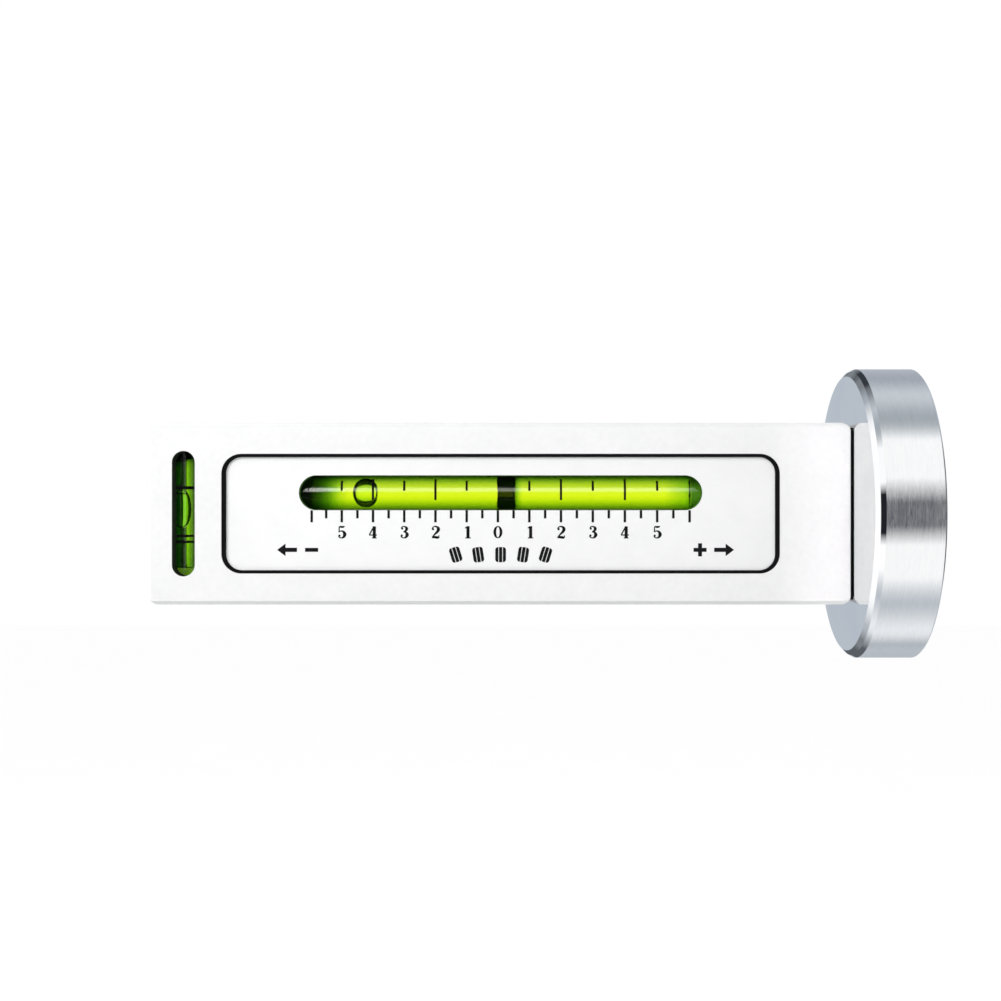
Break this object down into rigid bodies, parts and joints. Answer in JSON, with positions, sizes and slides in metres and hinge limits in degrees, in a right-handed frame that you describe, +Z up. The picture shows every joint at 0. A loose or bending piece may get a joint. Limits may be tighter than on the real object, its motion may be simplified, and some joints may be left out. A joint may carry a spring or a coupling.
{
  "type": "camber caster gauge",
  "caption": "Magnetic wheel-alignment gauge: a flat metal bar with a camber vial and printed scale, a cross-level vial, a caster scale behind and a round steel pot magnet at its end.",
  "frame": {"origin": "centre of the magnet's outer mounting face", "axes": "+X out of the mounting face along the bar's axis, the bar runs along -X, the camber scale faces -Y, +Z up as in the picture"},
  "size_m": [0.1471, 0.0562, 0.0562],
  "materials": {
    "satin_aluminium": "satin anodised",
    "printed_aluminium": "satin anodised, printed black",
    "black_rubber": "matte",
    "clear_tube": "polished",
    "vial_liquid": "clear yellow-green",
    "air_bubble": "clear",
    "vial_plug": "dark green",
    "black_band": "matte",
    "turned_steel": "polished face, brushed rim",
    "magnet_ceramic": "ground grey",
    "black_resin": "matte",
    "bright_steel": "zinc plated",
    "black_steel": "black oxide"
  },
  "bodies": {
    "gauge": {"body_bar": "satin_aluminium", "camber_scale_plate": "printed_aluminium", "camber_scale_gasket": "black_rubber", "camber_vial_tube": "clear_tube", "camber_vial_fluid": "vial_liquid", "camber_vial_plug_left": "vial_plug", "camber_vial_plug_right": "vial_plug", "level_vial_tube": "clear_tube", "level_vial_fluid": "vial_liquid", "level_vial_bands": "black_band", "level_vial_plug_bottom": "vial_plug", "level_vial_plug_top": "vial_plug", "level_bore_plug": "satin_aluminium", "caster_scale_plate": "printed_aluminium", "caster_scale_gasket": "black_rubber", "caster_plate_screws": "bright_steel", "vial_rear_pads": "black_rubber", "vial_set_screws": "black_steel", "magnet_cup": "turned_steel", "ring_magnet": "magnet_ceramic", "magnet_potting": "black_resin", "mounting_stud": "bright_steel", "stud_lock_screw": "black_steel", "locating_dowels": "bright_steel"},
    "camber_bubble": {"camber_bubble": "air_bubble"},
    "level_bubble": {"level_bubble": "air_bubble"}
  },
  "joints": [
    {"name": "camber_bubble_slide", "type": "slide", "parent": "gauge", "child": "camber_bubble", "axis": [1, 0, 0], "range_m": [-0.0079, 0.0604], "stiffness_N_per_m": 5, "deforming": ["camber_vial_fluid"]},
    {"name": "level_bubble_slide", "type": "slide", "parent": "gauge", "child": "level_bubble", "axis": [0, 0, 1], "range_m": [-0.0076, 0.0058], "stiffness_N_per_m": 5, "deforming": ["level_vial_fluid"]}
  ]
}
